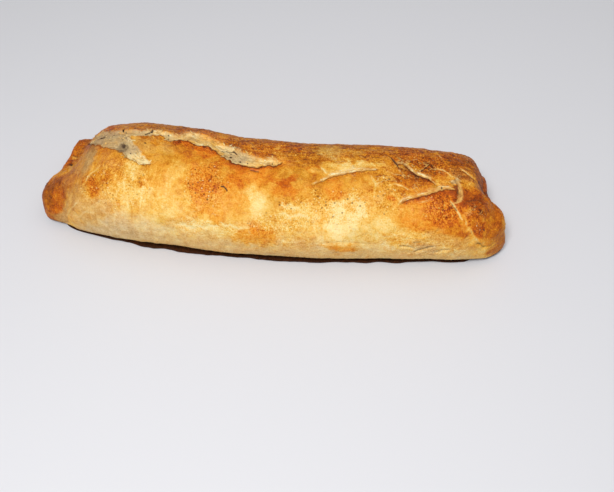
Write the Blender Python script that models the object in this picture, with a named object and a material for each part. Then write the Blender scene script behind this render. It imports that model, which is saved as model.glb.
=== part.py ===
"""A bedfordshire clanger: one closed roll of suet crust, sealed flat at both ends and split along its top.

The roll is a loft between unlike sections, flat underneath, higher at the left than at the right.
Its splits, lips and folds are pushed into the lofted surface along routes that run over the crust.
+X runs along the roll, +Y to its back and +Z up. The origin is at the middle of the box, on the sole.
"""
import bmesh
import bpy
import numpy as np

# Driving dimensions. Lengths in this file are millimetres, and MM turns them into metres.
MM = 0.001
HALF_LENGTH = 105.0
HALF_WIDTH = 29.0
HEIGHT = 38.3

# How finely the crust is faceted.
BODY_RINGS = 100
CAP_RINGS = 5
SOLE_POINTS = 5
CRUST_POINTS = 40
RING_SAMPLES = 720

# The facets are finer along the ridge, where the splits are: how much, where and how far round.
RIDGE_GAIN = 1.2
RIDGE_MIDDLE = 4.0
RIDGE_REACH = 20.0

# The sealed ends, as fractions of the half length, and how round they are.
LEFT_END = -1.01
RIGHT_END = 0.99
CAP_ROUNDING = 5.0
CAP_EXPONENT = 2.4

# The underside: its squareness, and how far the section is pushed below the table and cut off flat.
UNDER_EXPONENT = 3.0
SOLE_CUT = 1.0
SOLE_CORNER = 1.2

# Sections along the roll, as fractions of the driving dimensions: place along, reach to the front,
# reach to the back, height, height of the widest line; and then the squareness of the top.
SECTIONS = (
    (-1.02, 0.52, 0.90, 0.22, 0.10, 3.2),
    (-0.96, 0.60, 1.00, 0.27, 0.13, 3.0),
    (-0.905, 0.67, 1.02, 0.35, 0.16, 2.8),
    (-0.83, 0.79, 1.00, 0.63, 0.23, 2.4),
    (-0.725, 0.88, 1.02, 0.89, 0.31, 2.2),
    (-0.55, 0.96, 1.035, 1.00, 0.35, 2.15),
    (-0.345, 1.00, 1.02, 0.955, 0.35, 2.15),
    (-0.135, 1.03, 0.98, 0.86, 0.34, 2.15),
    (0.19, 0.99, 0.965, 0.85, 0.34, 2.15),
    (0.495, 0.88, 1.00, 0.89, 0.34, 2.2),
    (0.725, 0.78, 0.98, 0.865, 0.34, 2.3),
    (0.855, 0.735, 0.95, 0.795, 0.31, 2.5),
    (0.935, 0.655, 0.76, 0.60, 0.235, 2.6),
    (0.99, 0.515, 0.48, 0.34, 0.155, 2.6),
)

# The two ends in plan: (distance to the back, place along), in millimetres.
LEFT_EDGE = (
    (-22, -97), (-15, -104), (-8, -107), (1, -105.7),
    (8, -103.6), (16, -102.8), (26, -103.3), (30, -101.5),
)
RIGHT_EDGE = (
    (-22, 95), (-16, 102), (-10, 105.5), (-3, 103.5), (1, 99.5),
    (6, 97.5), (14, 98), (22, 97.5), (28, 94),
)
# Where each slanted end starts to draw the crust with it, over how long a stretch, and how fast.
LEFT_TAPER = (-80.0, 26.0)
RIGHT_TAPER = (80.0, 24.0)
TAPER_POWER = 1.5

# Swellings of the crust: the rounded left corner, the ear at the right and the sealed tab.
# Each is centre, radius and push, in millimetres.
SWELLINGS = (
    ((-98, -6, 13), 13, (0, 0, 5.0)),
    ((100, -8, 12), 10, (0, 0, 4.0)),
    ((-100, 26, 10), 7, (0, 1.5, 2.0)),
)
SWELLING_FADE = 1.5
SWELLING_FLOOR = 4.0

# Splits and folds. A route is (along, round): millimetres along the roll, and millimetres round its
# section from the ridge, positive towards the front. Then half width, depth, and the height of the
# lips on the front and on the back side.
SPLITS = {
    "ridge_tear": (
        ((-85, -12), (-75, -8), (-62, -9), (-48, -10), (-38, -9.5), (-30, -10.5), (-22, -8), (-11, -3), (6, -3)),
        3.6, 2.2, 0.6, 0.8,
    ),
    "branch_tear": (((-74, -6), (-67, -3.5), (-60, 1), (-55, 5), (-49, 8)), 3.8, 1.4, 0.4, 0.2),
    "arched_crack": (((16, 6), (23, 6), (30, 3), (40, -2), (49, -4)), 2.6, 0.9, 0.2, 0.1),
    "fold_hollow": (((51, -17), (54, -10.5), (60, -3)), 3.0, 1.6, 0.2, 0.5),
    "fold_crack": (((59, -9), (65, -2.5), (72, 2)), 2.4, 1.0, 0.3, 0.1),
    "long_crack": (((57, 15), (67, 9.5), (76, 5.5), (82, 4.5)), 2.8, 1.1, 0.3, 0.2),
    "end_crack": (((79, 0), (83, 5), (82.5, 12)), 2.4, 1.0, 0.2, 0.2),
    "front_crack": (((78, 10), (85, 17), (94, 24)), 2.6, 0.9, 0.2, 0.2),
}
LIP_REACH = 2.0

CRUST_COLOUR = (0.62, 0.34, 0.10, 1.0)
CRUST_ROUGHNESS = 0.55


def curve(places, values):
    """A smooth function through the given values that never swings past them."""
    places = np.asarray(places, float)
    values = np.asarray(values, float)
    steps = np.diff(places)
    slopes = np.diff(values) / steps
    tangents = np.zeros_like(values)
    turning = slopes[:-1] * slopes[1:] <= 0
    sums = np.where(turning, 1.0, slopes[:-1] + slopes[1:])
    tangents[1:-1] = np.where(turning, 0.0, 2 * slopes[:-1] * slopes[1:] / sums)
    tangents[0] = slopes[0]
    tangents[-1] = slopes[-1]

    def read(at):
        at = np.clip(at, places[0], places[-1])
        k = np.clip(np.searchsorted(places, at) - 1, 0, len(places) - 2)
        t = (at - places[k]) / steps[k]
        return (
            (2 * t**3 - 3 * t**2 + 1) * values[k]
            + (t**3 - 2 * t**2 + t) * steps[k] * tangents[k]
            + (3 * t**2 - 2 * t**3) * values[k + 1]
            + (t**3 - t**2) * steps[k] * tangents[k + 1]
        )

    return read


def section_curves():
    """The section's measures as functions of the place along the roll, in millimetres."""
    table = np.array(SECTIONS)
    along = table[:, 0] * HALF_LENGTH
    scales = (HALF_WIDTH, HALF_WIDTH, HEIGHT, HEIGHT, 1.0)
    return [curve(along, table[:, column + 1] * scale) for column, scale in enumerate(scales)]


def section(measures):
    """The outline of one section, from under its middle round the back, the top and the front."""
    front, back, height, widest, squareness = measures
    turn = np.linspace(0, 2 * np.pi, RING_SAMPLES, endpoint=False)
    up = -np.cos(turn)
    across = np.sin(turn)
    reach = np.where(across > 0, back, front)
    exponent = np.where(up > 0, squareness, UNDER_EXPONENT)
    y = reach * np.sign(across) * np.abs(across) ** (2 / exponent)
    rise = np.abs(up) ** (2 / exponent)
    z = np.where(up > 0, widest + (height - widest) * rise, widest - (widest + SOLE_CUT) * rise)
    return y, np.maximum(z, 0.0)


def spaced(y, z):
    """Points spaced over the crust, closer near the ridge, and evenly under the sole, with their way round."""
    steps = np.hypot(np.roll(y, -1) - y, np.roll(z, -1) - z)
    way = np.concatenate([[0.0], np.cumsum(steps)])
    ridge = way[np.argmax(z)]
    above = np.flatnonzero(z > SOLE_CORNER)
    start = way[above[0]]
    end = way[above[-1]]
    crowd = 1 + RIDGE_GAIN * np.exp(-(((way[above] - ridge - RIDGE_MIDDLE) / RIDGE_REACH) ** 2))
    filled = np.cumsum(crowd * steps[above])
    wanted = np.linspace(filled[0], filled[-1], CRUST_POINTS, endpoint=False)
    crust = np.interp(wanted, filled, way[above])
    sole = np.linspace(end, way[-1] + start, SOLE_POINTS, endpoint=False) % way[-1]
    at = np.concatenate([crust, sole])
    closed_y = np.append(y, y[0])
    closed_z = np.append(z, z[0])
    return np.interp(at, way, closed_y), np.interp(at, way, closed_z), at - ridge


def loft():
    """The smooth roll: points as rings, with each point's place along the roll and round it."""
    curves = section_curves()
    left = LEFT_END * HALF_LENGTH
    right = RIGHT_END * HALF_LENGTH
    sizes = np.sin(np.linspace(0, 1, CAP_RINGS + 1)[1:-1] * np.pi / 2)
    insets = CAP_ROUNDING * (1 - (1 - sizes**CAP_EXPONENT) ** (1 / CAP_EXPONENT))
    body = np.linspace(left + CAP_ROUNDING, right - CAP_ROUNDING, BODY_RINGS)
    rings = [(left + inset, size, body[0]) for inset, size in zip(insets, sizes)]
    rings += [(place, 1.0, place) for place in body]
    rings += [(right - inset, size, body[-1]) for inset, size in zip(insets[::-1], sizes[::-1])]
    points = []
    rounds = []
    for x, size, place in rings:
        measures = [read(place) for read in curves]
        y, z, around = spaced(*section(measures))
        middle_y = (measures[1] - measures[0]) / 2
        middle_z = measures[2] / 2
        y = middle_y + (y - middle_y) * size
        z = middle_z + (z - middle_z) * size
        points.append(np.column_stack([np.full_like(y, x), y, z]))
        rounds.append(around)
    return np.array(points), np.array(rounds)


def slant_ends(points):
    """Draws the crust at each end out to the slanted, uneven line of its seal."""
    ends = ((LEFT_EDGE, LEFT_TAPER, LEFT_END, -1), (RIGHT_EDGE, RIGHT_TAPER, RIGHT_END, 1))
    moves = np.zeros(points.shape[:-1])
    for edge, (start, length), end, side in ends:
        offset, place = np.array(edge, float).T
        share = np.clip(side * (points[..., 0] - start) / length, 0, 1) ** TAPER_POWER
        moves += share * (curve(offset, place)(points[..., 1]) - end * HALF_LENGTH)
    points[..., 0] += moves


def swell(points):
    """Raises the rounded corners, leaving the sole on the table."""
    for centre, radius, push in SWELLINGS:
        distance = ((points - centre) ** 2).sum(axis=-1) / radius**2
        share = np.exp(-SWELLING_FADE * distance)[..., None] * np.array(push)
        share[..., 2] *= np.clip(points[..., 2] / SWELLING_FLOOR, 0, 1)
        points += share


def normals_of(points):
    """Outward normals of the lofted rings."""
    along = np.gradient(points, axis=0)
    around = np.roll(points, -1, axis=1) - np.roll(points, 1, axis=1)
    normal = np.cross(around, along)
    return normal / np.maximum(np.linalg.norm(normal, axis=-1, keepdims=True), 1e-9)


def across_route(along, around, route):
    """Signed distance to a route, positive in front of it, and how near its ends the point is, 0 to 1."""
    nearest = np.full(along.shape, np.inf)
    side = np.ones(along.shape)
    share = np.zeros(along.shape)
    route = np.array(route, float)
    lengths = np.hypot(*np.diff(route, axis=0).T)
    starts = np.concatenate([[0.0], np.cumsum(lengths)]) / lengths.sum()
    for k, ((x0, t0), (x1, t1)) in enumerate(zip(route[:-1], route[1:])):
        dx = x1 - x0
        dt = t1 - t0
        u = np.clip(((along - x0) * dx + (around - t0) * dt) / (dx * dx + dt * dt), 0, 1)
        off_x = along - x0 - u * dx
        off_t = around - t0 - u * dt
        distance = np.hypot(off_x, off_t)
        closer = distance < nearest
        nearest = np.where(closer, distance, nearest)
        side = np.where(closer, np.sign(dx * off_t - dt * off_x), side)
        share = np.where(closer, starts[k] + u * (starts[k + 1] - starts[k]), share)
    return nearest * side, np.sqrt(np.sin(np.pi * np.clip(share, 0.05, 0.95)))


def split(points, rounds):
    """Sinks each split into the crust and lifts its lips."""
    normals = normals_of(points)
    along = points[..., 0].copy()
    for route, half_width, depth, front_lip, back_lip in SPLITS.values():
        off, fullness = across_route(along, rounds, route)
        open_to = half_width * fullness
        groove = np.clip(1 - (off / open_to) ** 2, 0, 1) ** 2
        lip = np.exp(-(((np.abs(off) - open_to - LIP_REACH / 2) / LIP_REACH) ** 2))
        height = np.where(off > 0, front_lip, back_lip) * lip * np.clip(np.abs(off) / open_to, 0, 1)
        points += normals * ((height - depth * groove) * fullness)[..., None]


def mesh_from_rings(name, points):
    """Joins the rings into one closed body, with a pole at each end."""
    mesh = bpy.data.meshes.new(name)
    bm = bmesh.new()
    rings = [[bm.verts.new(point) for point in ring] for ring in points]
    count = len(rings[0])
    for ring, following in zip(rings[:-1], rings[1:]):
        for j in range(count):
            nxt = (j + 1) % count
            bm.faces.new((ring[j], following[j], following[nxt], ring[nxt]))
    for ring in (rings[0], rings[-1]):
        pole = bm.verts.new(np.mean([vertex.co for vertex in ring], axis=0))
        for j in range(count):
            bm.faces.new((ring[j], ring[(j + 1) % count], pole))
    bmesh.ops.recalc_face_normals(bm, faces=bm.faces)
    bm.to_mesh(mesh)
    bm.free()
    mesh.shade_smooth()
    return mesh


def crust_material():
    """Baked suet crust: golden brown with a satin glaze."""
    material = bpy.data.materials.new("baked_crust")
    material.use_nodes = True
    shader = material.node_tree.nodes["Principled BSDF"]
    shader.inputs["Base Color"].default_value = CRUST_COLOUR
    shader.inputs["Roughness"].default_value = CRUST_ROUGHNESS
    shader.inputs["Metallic"].default_value = 0.0
    return material


def build_crust(collection):
    """The whole roll, as one solid resting on its flat sole."""
    points, rounds = loft()
    slant_ends(points)
    swell(points)
    split(points, rounds)
    low = points.reshape(-1, 3).min(axis=0)
    high = points.reshape(-1, 3).max(axis=0)
    middle = (low + high) / 2
    points -= (middle[0], middle[1], 0.0)
    crust = bpy.data.objects.new("crust", mesh_from_rings("crust", points * MM))
    crust.data.materials.append(crust_material())
    collection.objects.link(crust)


def main():
    for obj in list(bpy.data.objects):
        bpy.data.objects.remove(obj, do_unlink=True)
    collection = bpy.data.collections.new("bedfordshire_clanger")
    bpy.context.scene.collection.children.link(collection)
    build_crust(collection)


main()
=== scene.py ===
import math

import bpy
import numpy as np
from mathutils import Euler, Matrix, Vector


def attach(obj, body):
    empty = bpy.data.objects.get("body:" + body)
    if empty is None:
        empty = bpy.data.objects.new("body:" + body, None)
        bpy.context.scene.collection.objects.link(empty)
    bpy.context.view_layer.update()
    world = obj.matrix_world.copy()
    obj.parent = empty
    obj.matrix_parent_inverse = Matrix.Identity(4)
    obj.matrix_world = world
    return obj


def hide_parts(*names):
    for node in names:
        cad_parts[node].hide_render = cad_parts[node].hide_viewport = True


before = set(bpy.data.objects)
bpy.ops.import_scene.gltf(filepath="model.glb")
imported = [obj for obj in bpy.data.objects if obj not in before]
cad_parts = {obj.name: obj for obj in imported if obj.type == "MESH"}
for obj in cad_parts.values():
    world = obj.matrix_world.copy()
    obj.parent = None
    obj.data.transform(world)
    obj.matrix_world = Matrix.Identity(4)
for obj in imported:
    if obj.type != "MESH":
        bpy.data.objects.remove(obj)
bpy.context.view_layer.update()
mm = 0.001
print("frame loaded")


# Noise, smooth lines and soft steps, used by everything below.

def makeNoise(seed):
    # smooth noise in space, about -1 to 1, with lumps of the size asked for
    gain, keep, octaveShift = 1.6, 0.5, 17.3
    rng = np.random.default_rng(seed)
    order = np.tile(rng.permutation(256), 2)
    leans = rng.normal(size=(256, 3))
    leans /= np.linalg.norm(leans, axis=1, keepdims=True)

    def read(points, size, octaves=1):
        total = np.zeros(points.shape[:-1])
        height = 1.0
        for octave in range(octaves):
            at = points / size * 2.0 ** octave + octaveShift * octave
            cell = np.floor(at).astype(int)
            part = at - cell
            smooth = part ** 3 * (part * (part * 6 - 15) + 10)
            for corner in np.ndindex(2, 2, 2):
                node = (cell + corner) & 255
                pick = order[order[order[node[..., 0]] + node[..., 1]] + node[..., 2]]
                slope = (leans[pick] * (part - corner)).sum(-1)
                share = np.where(corner, smooth, 1 - smooth).prod(-1)
                total += height * gain * slope * share
            height *= keep
        return total
    return read


def curve(places, values):
    # a smooth line through the values that never swings past them
    places = np.asarray(places, float)
    values = np.asarray(values, float)
    steps = np.diff(places)
    slopes = np.diff(values) / steps
    turning = slopes[:-1] * slopes[1:] <= 0
    sums = np.where(turning, 1.0, slopes[:-1] + slopes[1:])
    middle = np.where(turning, 0.0, 2 * slopes[:-1] * slopes[1:] / sums)
    tangents = np.concatenate([slopes[:1], middle, slopes[-1:]])

    def read(at):
        at = np.clip(at, places[0], places[-1])
        k = np.clip(np.searchsorted(places, at) - 1, 0, len(places) - 2)
        t = (at - places[k]) / steps[k]
        return ((2 * t ** 3 - 3 * t ** 2 + 1) * values[k]
                + (t ** 3 - 2 * t ** 2 + t) * steps[k] * tangents[k]
                + (3 * t ** 2 - 2 * t ** 3) * values[k + 1]
                + (t ** 3 - t ** 2) * steps[k] * tangents[k + 1])
    return read


def ease(low, high, value):
    share = np.clip((value - low) / (high - low), 0, 1)
    return share * share * (3 - 2 * share)


def towardsFront(y):
    # 0 at the back and 1 at the front
    return ease(*roll["frontTurn"], y)


def blend(ends, share):
    # the first value where the share is 0, the second where it is 1
    return ends[0] + (ends[1] - ends[0]) * share


def lumps(noise, size, height, octaves=2):
    # uneven lumps on the whole roll, in the size and height given
    return height * noise(points, size, octaves)


# The roll's smooth shape in millimetres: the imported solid's, with fuller lower corners at both ends.

roll = {
    "halfLength": 105.0, "halfWidth": 29.0, "height": 38.3,
    "bodyRings": 360, "capRings": 9, "crustPoints": 238, "solePoints": 16,
    "ridgeGain": 0.5, "ridgeMiddle": 8.0, "ridgeReach": 26.0,
    "leftEnd": -1.01, "rightEnd": 0.99, "capRounding": 5.0, "capExponent": 2.4,
    "underExponent": 3.0, "soleCut": 1.0, "soleCorner": 1.2,
    # place along, reach to the front, reach to the back, height, widest line, squareness of the top
    "sections": (
        (-1.02, 0.52, 0.9, 0.22, 0.1, 3.2),
        (-0.96, 0.6, 1, 0.27, 0.13, 3),
        (-0.905, 0.67, 1.02, 0.35, 0.16, 2.8),
        (-0.83, 0.79, 1, 0.63, 0.23, 2.4),
        (-0.725, 0.88, 1.02, 0.89, 0.31, 2.2),
        (-0.55, 0.96, 1.035, 1, 0.35, 2.15),
        (-0.345, 1, 1.02, 0.955, 0.35, 2.15),
        (-0.135, 1.03, 0.98, 0.86, 0.34, 2.15),
        (0.19, 0.99, 0.965, 0.85, 0.34, 2.15),
        (0.495, 0.88, 1, 0.89, 0.34, 2.2),
        (0.725, 0.78, 0.98, 0.865, 0.34, 2.3),
        (0.855, 0.735, 0.95, 0.795, 0.31, 2.5),
        (0.935, 0.655, 0.76, 0.6, 0.235, 2.6),
        (0.99, 0.515, 0.48, 0.34, 0.155, 2.6),
    ),
    # the ends in plan: distance to the back, place along
    "leftEdge": ((-22, -97), (-15, -104), (-8, -107), (1, -105.7),
                 (8, -103.6), (16, -102.8), (26, -103.3), (30, -101.5)),
    "rightEdge": ((-22, 95), (-16, 102), (-10, 105.5), (-3, 103.5), (1, 99.5),
                  (6, 97.5), (14, 98), (22, 97.5), (28, 94)),
    "leftTaper": (-80.0, 26.0), "rightTaper": (80.0, 24.0), "taperPower": 1.5,
    # centre, radius, push
    "swellings": (
        ((-98, -6, 13), 13, (0, 0, 5.0)),       # corner
        ((100, -8, 12), 10, (0, 0, 4.0)),       # ear
        ((-100, 26, 10), 7, (0, 1.5, 2.0)),     # sealed tab
        ((101, -7, 4), 10, (3.0, -0.6, 0)),     # lower right corner
        ((-101, -15, 3), 10, (-2.0, -0.6, 0)),  # lower left corner
    ),
    "swellEdge": 1.5, "footFade": 4.0, "sectionSamples": 1440,
    "frontTurn": (8.0, -12.0),  # distance to the back where the foot's finish turns from back to front
}


def sectionLine(measures):
    front, back, height, widest, squareness = measures
    turn = np.linspace(0, 2 * np.pi, roll["sectionSamples"], endpoint=False)
    up = -np.cos(turn)
    across = np.sin(turn)
    exponent = np.where(up > 0, squareness, roll["underExponent"])
    y = np.where(across > 0, back, front) * np.sign(across) * np.abs(across) ** (2 / exponent)
    rise = np.abs(up) ** (2 / exponent)
    z = np.where(up > 0, widest + (height - widest) * rise, widest - (widest + roll["soleCut"]) * rise)
    return y, np.maximum(z, 0.0)


def spacedPoints(y, z):
    steps = np.hypot(np.roll(y, -1) - y, np.roll(z, -1) - z)
    way = np.concatenate([[0.0], np.cumsum(steps)])
    ridge = way[np.argmax(z)]
    above = np.flatnonzero(z > roll["soleCorner"])
    offRidge = (way[above] - ridge - roll["ridgeMiddle"]) / roll["ridgeReach"]
    filled = np.cumsum((1 + roll["ridgeGain"] * np.exp(-offRidge ** 2)) * steps[above])
    wanted = np.linspace(filled[0], filled[-1], roll["crustPoints"], endpoint=False)
    crustWay = np.interp(wanted, filled, way[above])
    soleWay = np.linspace(way[above[-1]], way[-1] + way[above[0]], roll["solePoints"], endpoint=False)
    at = np.concatenate([crustWay, soleWay % way[-1]])
    return np.interp(at, way, np.append(y, y[0])), np.interp(at, way, np.append(z, z[0])), at - ridge


def makeRoll():
    # rings of points, with each point's way round from the ridge, positive towards the front
    table = np.array(roll["sections"])
    scales = (roll["halfWidth"], roll["halfWidth"], roll["height"], roll["height"], 1.0)
    reads = [curve(table[:, 0] * roll["halfLength"], table[:, k + 1] * scales[k]) for k in range(5)]
    left = roll["leftEnd"] * roll["halfLength"]
    right = roll["rightEnd"] * roll["halfLength"]
    sizes = np.sin(np.linspace(0, 1, roll["capRings"] + 1)[1:-1] * np.pi / 2)
    power = roll["capExponent"]
    insets = roll["capRounding"] * (1 - (1 - sizes ** power) ** (1 / power))
    body = np.linspace(left + roll["capRounding"], right - roll["capRounding"], roll["bodyRings"])
    rings = [(left + inset, size, body[0]) for inset, size in zip(insets, sizes)]
    rings += [(place, 1.0, place) for place in body]
    rings += [(right - inset, size, body[-1]) for inset, size in zip(insets[::-1], sizes[::-1])]
    points = []
    around = []
    for x, size, place in rings:
        measures = [read(place) for read in reads]
        y, z, way = spacedPoints(*sectionLine(measures))
        middleY = (measures[1] - measures[0]) / 2
        middleZ = measures[2] / 2
        y = middleY + (y - middleY) * size
        z = middleZ + (z - middleZ) * size
        points.append(np.column_stack([np.full_like(y, x), y, z]))
        around.append(way)
    points = np.array(points)
    around = np.array(around)
    moves = np.zeros(around.shape)
    ends = (("leftEdge", "leftTaper", left, -1), ("rightEdge", "rightTaper", right, 1))
    for edge, taper, end, side in ends:
        start, length = roll[taper]
        offset, place = np.array(roll[edge], float).T
        share = np.clip(side * (points[..., 0] - start) / length, 0, 1) ** roll["taperPower"]
        moves += share * (curve(offset, place)(points[..., 1]) - end)
    points[..., 0] += moves
    for centreAt, radius, push in roll["swellings"]:
        distance = ((points - centreAt) ** 2).sum(-1) / radius ** 2
        share = np.exp(-roll["swellEdge"] * distance)[..., None] * np.array(push)
        share[..., 2] *= np.clip(points[..., 2] / roll["footFade"], 0, 1)
        points += share
    return points, around


def ringNormals(points):
    lengthwise = np.gradient(points, axis=0)
    across = np.roll(points, -1, axis=1) - np.roll(points, 1, axis=1)
    normal = np.cross(across, lengthwise)
    return normal / np.maximum(np.linalg.norm(normal, axis=-1, keepdims=True), 1e-9)


points, around = makeRoll()
rollBox = (points.reshape(-1, 3).min(0) + points.reshape(-1, 3).max(0)) / 2
centre = np.array([rollBox[0], rollBox[1], 0.0])  # from the roll's own middle to the frame's origin
along = points[..., 0].copy()
normals = ringNormals(points)
broadNoise, middleNoise, fineNoise, warpNoise = [makeNoise(seed) for seed in (11, 12, 13, 14)]
print("smooth roll", points.shape)


# Tears show the pale dough under the crust. It lies deeper at the back, and the front edge is the crisp
# one, with a line of painted shade along it and a browner band below it that is partly painted shade. A pair
# holds the value of the back edge and that of the front edge.

tears = {
    "ragged": 0.32, "raggedSizes": (2.4, 1.1), "smallShare": 0.6, "raggedWidths": (0.2, 1.5),
    "turnOver": 0.4, "fullWidth": 1.5, "leastFull": 0.15, "leastAcross": 0.5, "insideBand": 1.6,
    "wallReach": 0.5, "lipReach": 2.4, "lipRagged": 0.4, "bakeReach": 2.2, "bakeWidth": 0.6,
    "lineReach": (3.0, 1.0), "lineWidth": 0.5, "floorLumps": ((3.0, 0.38), (1.5, 0.30)),
    "floorApart": 9.0,
    # a route's point: along, round, half width
    "routes": {
        "ridge": dict(
            route=((-85, -13, 1.2), (-81, -11, 3.6), (-75.5, -8, 4.8), (-71, -7, 4.6), (-66, -8, 3.4),
                   (-62, -8.7, 2.3), (-57.5, -8.7, 2), (-53, -9.5, 2.2), (-49, -10.6, 1.9), (-46, -10.5, 2),
                   (-43, -8.5, 3), (-40, -9.2, 1.6), (-36.5, -11.3, 3.3), (-32.5, -11, 4.8),
                   (-29, -10.6, 4.3), (-26, -10.2, 3.1), (-22.5, -7.8, 2.8), (-18.5, -6, 3.4),
                   (-15, -4.5, 4), (-11.3, -2.8, 3.9), (-7.5, -2, 4), (-3.5, -1.2, 3.1), (0, -2.3, 2.2),
                   (2, -2.7, 2.3), (4.5, -2, 1.8), (6.5, -2.9, 0.3)),
            depth=(0.9, 0.4), band=(6, 1.6), lip=(0.6, 0.4), lipBakeAndShade=(0.1, 0.5), underline=0.9, gape=1),
        "branch": dict(
            route=((-74.5, -5.5, 3), (-68.7, -4, 4.6), (-63.5, -2, 4.3), (-60.2, 1, 3.6), (-57.6, 3.3, 3.2),
                   (-55.4, 4.9, 2.9), (-52.2, 7, 1.9), (-49, 7.6, 0.5)),
            depth=(0.5, 0.5), band=(2.8, 1.6), lip=(0.1, 0.2), lipBakeAndShade=(0, 0.1), underline=0.5, gape=1),
        "arched": dict(
            route=((22.2, 7.6, 0.3), (24.8, 5.7, 0.6), (26.9, 4.1, 0.9), (29.3, 2.5, 1.1), (31.7, 1.2, 1.4),
                   (34.6, 0.2, 1.6), (37.4, -0.7, 1.6), (39.9, -1.2, 1.5), (42.4, -1.6, 1.4),
                   (45, -1.8, 1.1), (47.3, -2, 0.5)),
            depth=(0.3, 0.4), band=(5.5, 1.4), lip=(0, 0.25), lipBakeAndShade=(0, 0.25), underline=0.5, gape=0.6),
        "fold": dict(
            route=((59.3, -7.3, 0.3), (61.4, -5.4, 0.5), (62.8, -3.4, 0.5), (64.6, -1.6, 0.6),
                   (66.3, -1, 0.75), (68.4, -0.6, 0.8), (70.1, 0, 0.7), (71.4, 1.5, 0.4), (73.1, 3, 0.2)),
            depth=(0.2, 0.9), band=(3.6, 1.6), lip=(0.4, -0.4), lipBakeAndShade=(0, 0.6), underline=1, gape=0.55),
        "long": dict(
            route=((58.9, 13.8, 0.3), (60, 12.3, 0.7), (61.9, 11, 0.8), (64, 10.4, 0.75), (66, 9.6, 0.75),
                   (68, 8.5, 0.8), (70, 7.6, 1), (72.4, 6.3, 1.15), (74.5, 5.1, 1.15), (76.5, 4.3, 1),
                   (78.6, 4.1, 0.6), (81.1, 4.3, 0.4)),
            depth=(0.4, 0.5), band=(4, 1.5), lip=(0, 0.45), lipBakeAndShade=(0, 0.5), underline=0.7, gape=0.5),
        "end": dict(
            route=((81.9, -0.3, 0.6), (82.7, 1, 0.8), (83.2, 3.1, 1.05), (83.4, 5.1, 1.1),
                   (83.5, 7.1, 1.05), (83.2, 9.1, 0.9), (82, 10.6, 0.5), (80.5, 10.9, 0.2)),
            depth=(0.6, 0.6), band=(2.2, 2), lip=(0.2, 0.2), lipBakeAndShade=(0.2, 0.3), underline=0.4, gape=0.5),
    },
    # where an edge is soft: along, round, reach along, reach round, share
    "softEdges": ((-52, -7, 12, 5, 0.85), (-75, -4, 5, 4, 0.4)),
    # along, round, reach along, reach round, tone: 0 fresh cream, 1 grey-beige, below 0 a painted highlight
    "tones": ((-76, -8, 12, 8, 1), (-66, -4, 8, 6, 0.68), (-60, 1, 6, 4, 0.75), (-50.5, 7.5, 3, 2.5, 0.1),
              (-58, -9, 6, 3, 0.65), (-44, -9, 4, 4, 0.4), (-37, -9, 3, 3, 0.2), (-30, -9, 6, 3, -0.35),
              (-34, -10.3, 4, 1.3, 0.5), (-24, -9, 3, 3, -0.1), (-19, -7, 3, 3, 0.3),
              (-18.5, -4.5, 2, 1.2, -0.5), (-13, -4.2, 6, 4, 0.7), (-6, -3.5, 2.5, 1.5, 0.3),
              (-3, -1.5, 3, 2, -0.2), (1.5, -1.5, 1.5, 1.5, 0.5), (4.5, -2.5, 2.5, 3, -0.1),
              (33, 0.5, 8, 2, -0.3), (42, -2.5, 3, 1, 0.6), (59, 12, 4, 4, -0.4), (67, -1, 4, 2, -0.1),
              (82, 0, 3, 3, 0.9), (83, 7, 2, 4, 0.5), (74, 5.5, 4, 1, 0.6)),
    "softEdge": (1.2, 0.6), "freshTone": 0.1, "toneEdge": (1.3, 0.6), "toneLumps": (3.0, 0.25),
}

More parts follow.
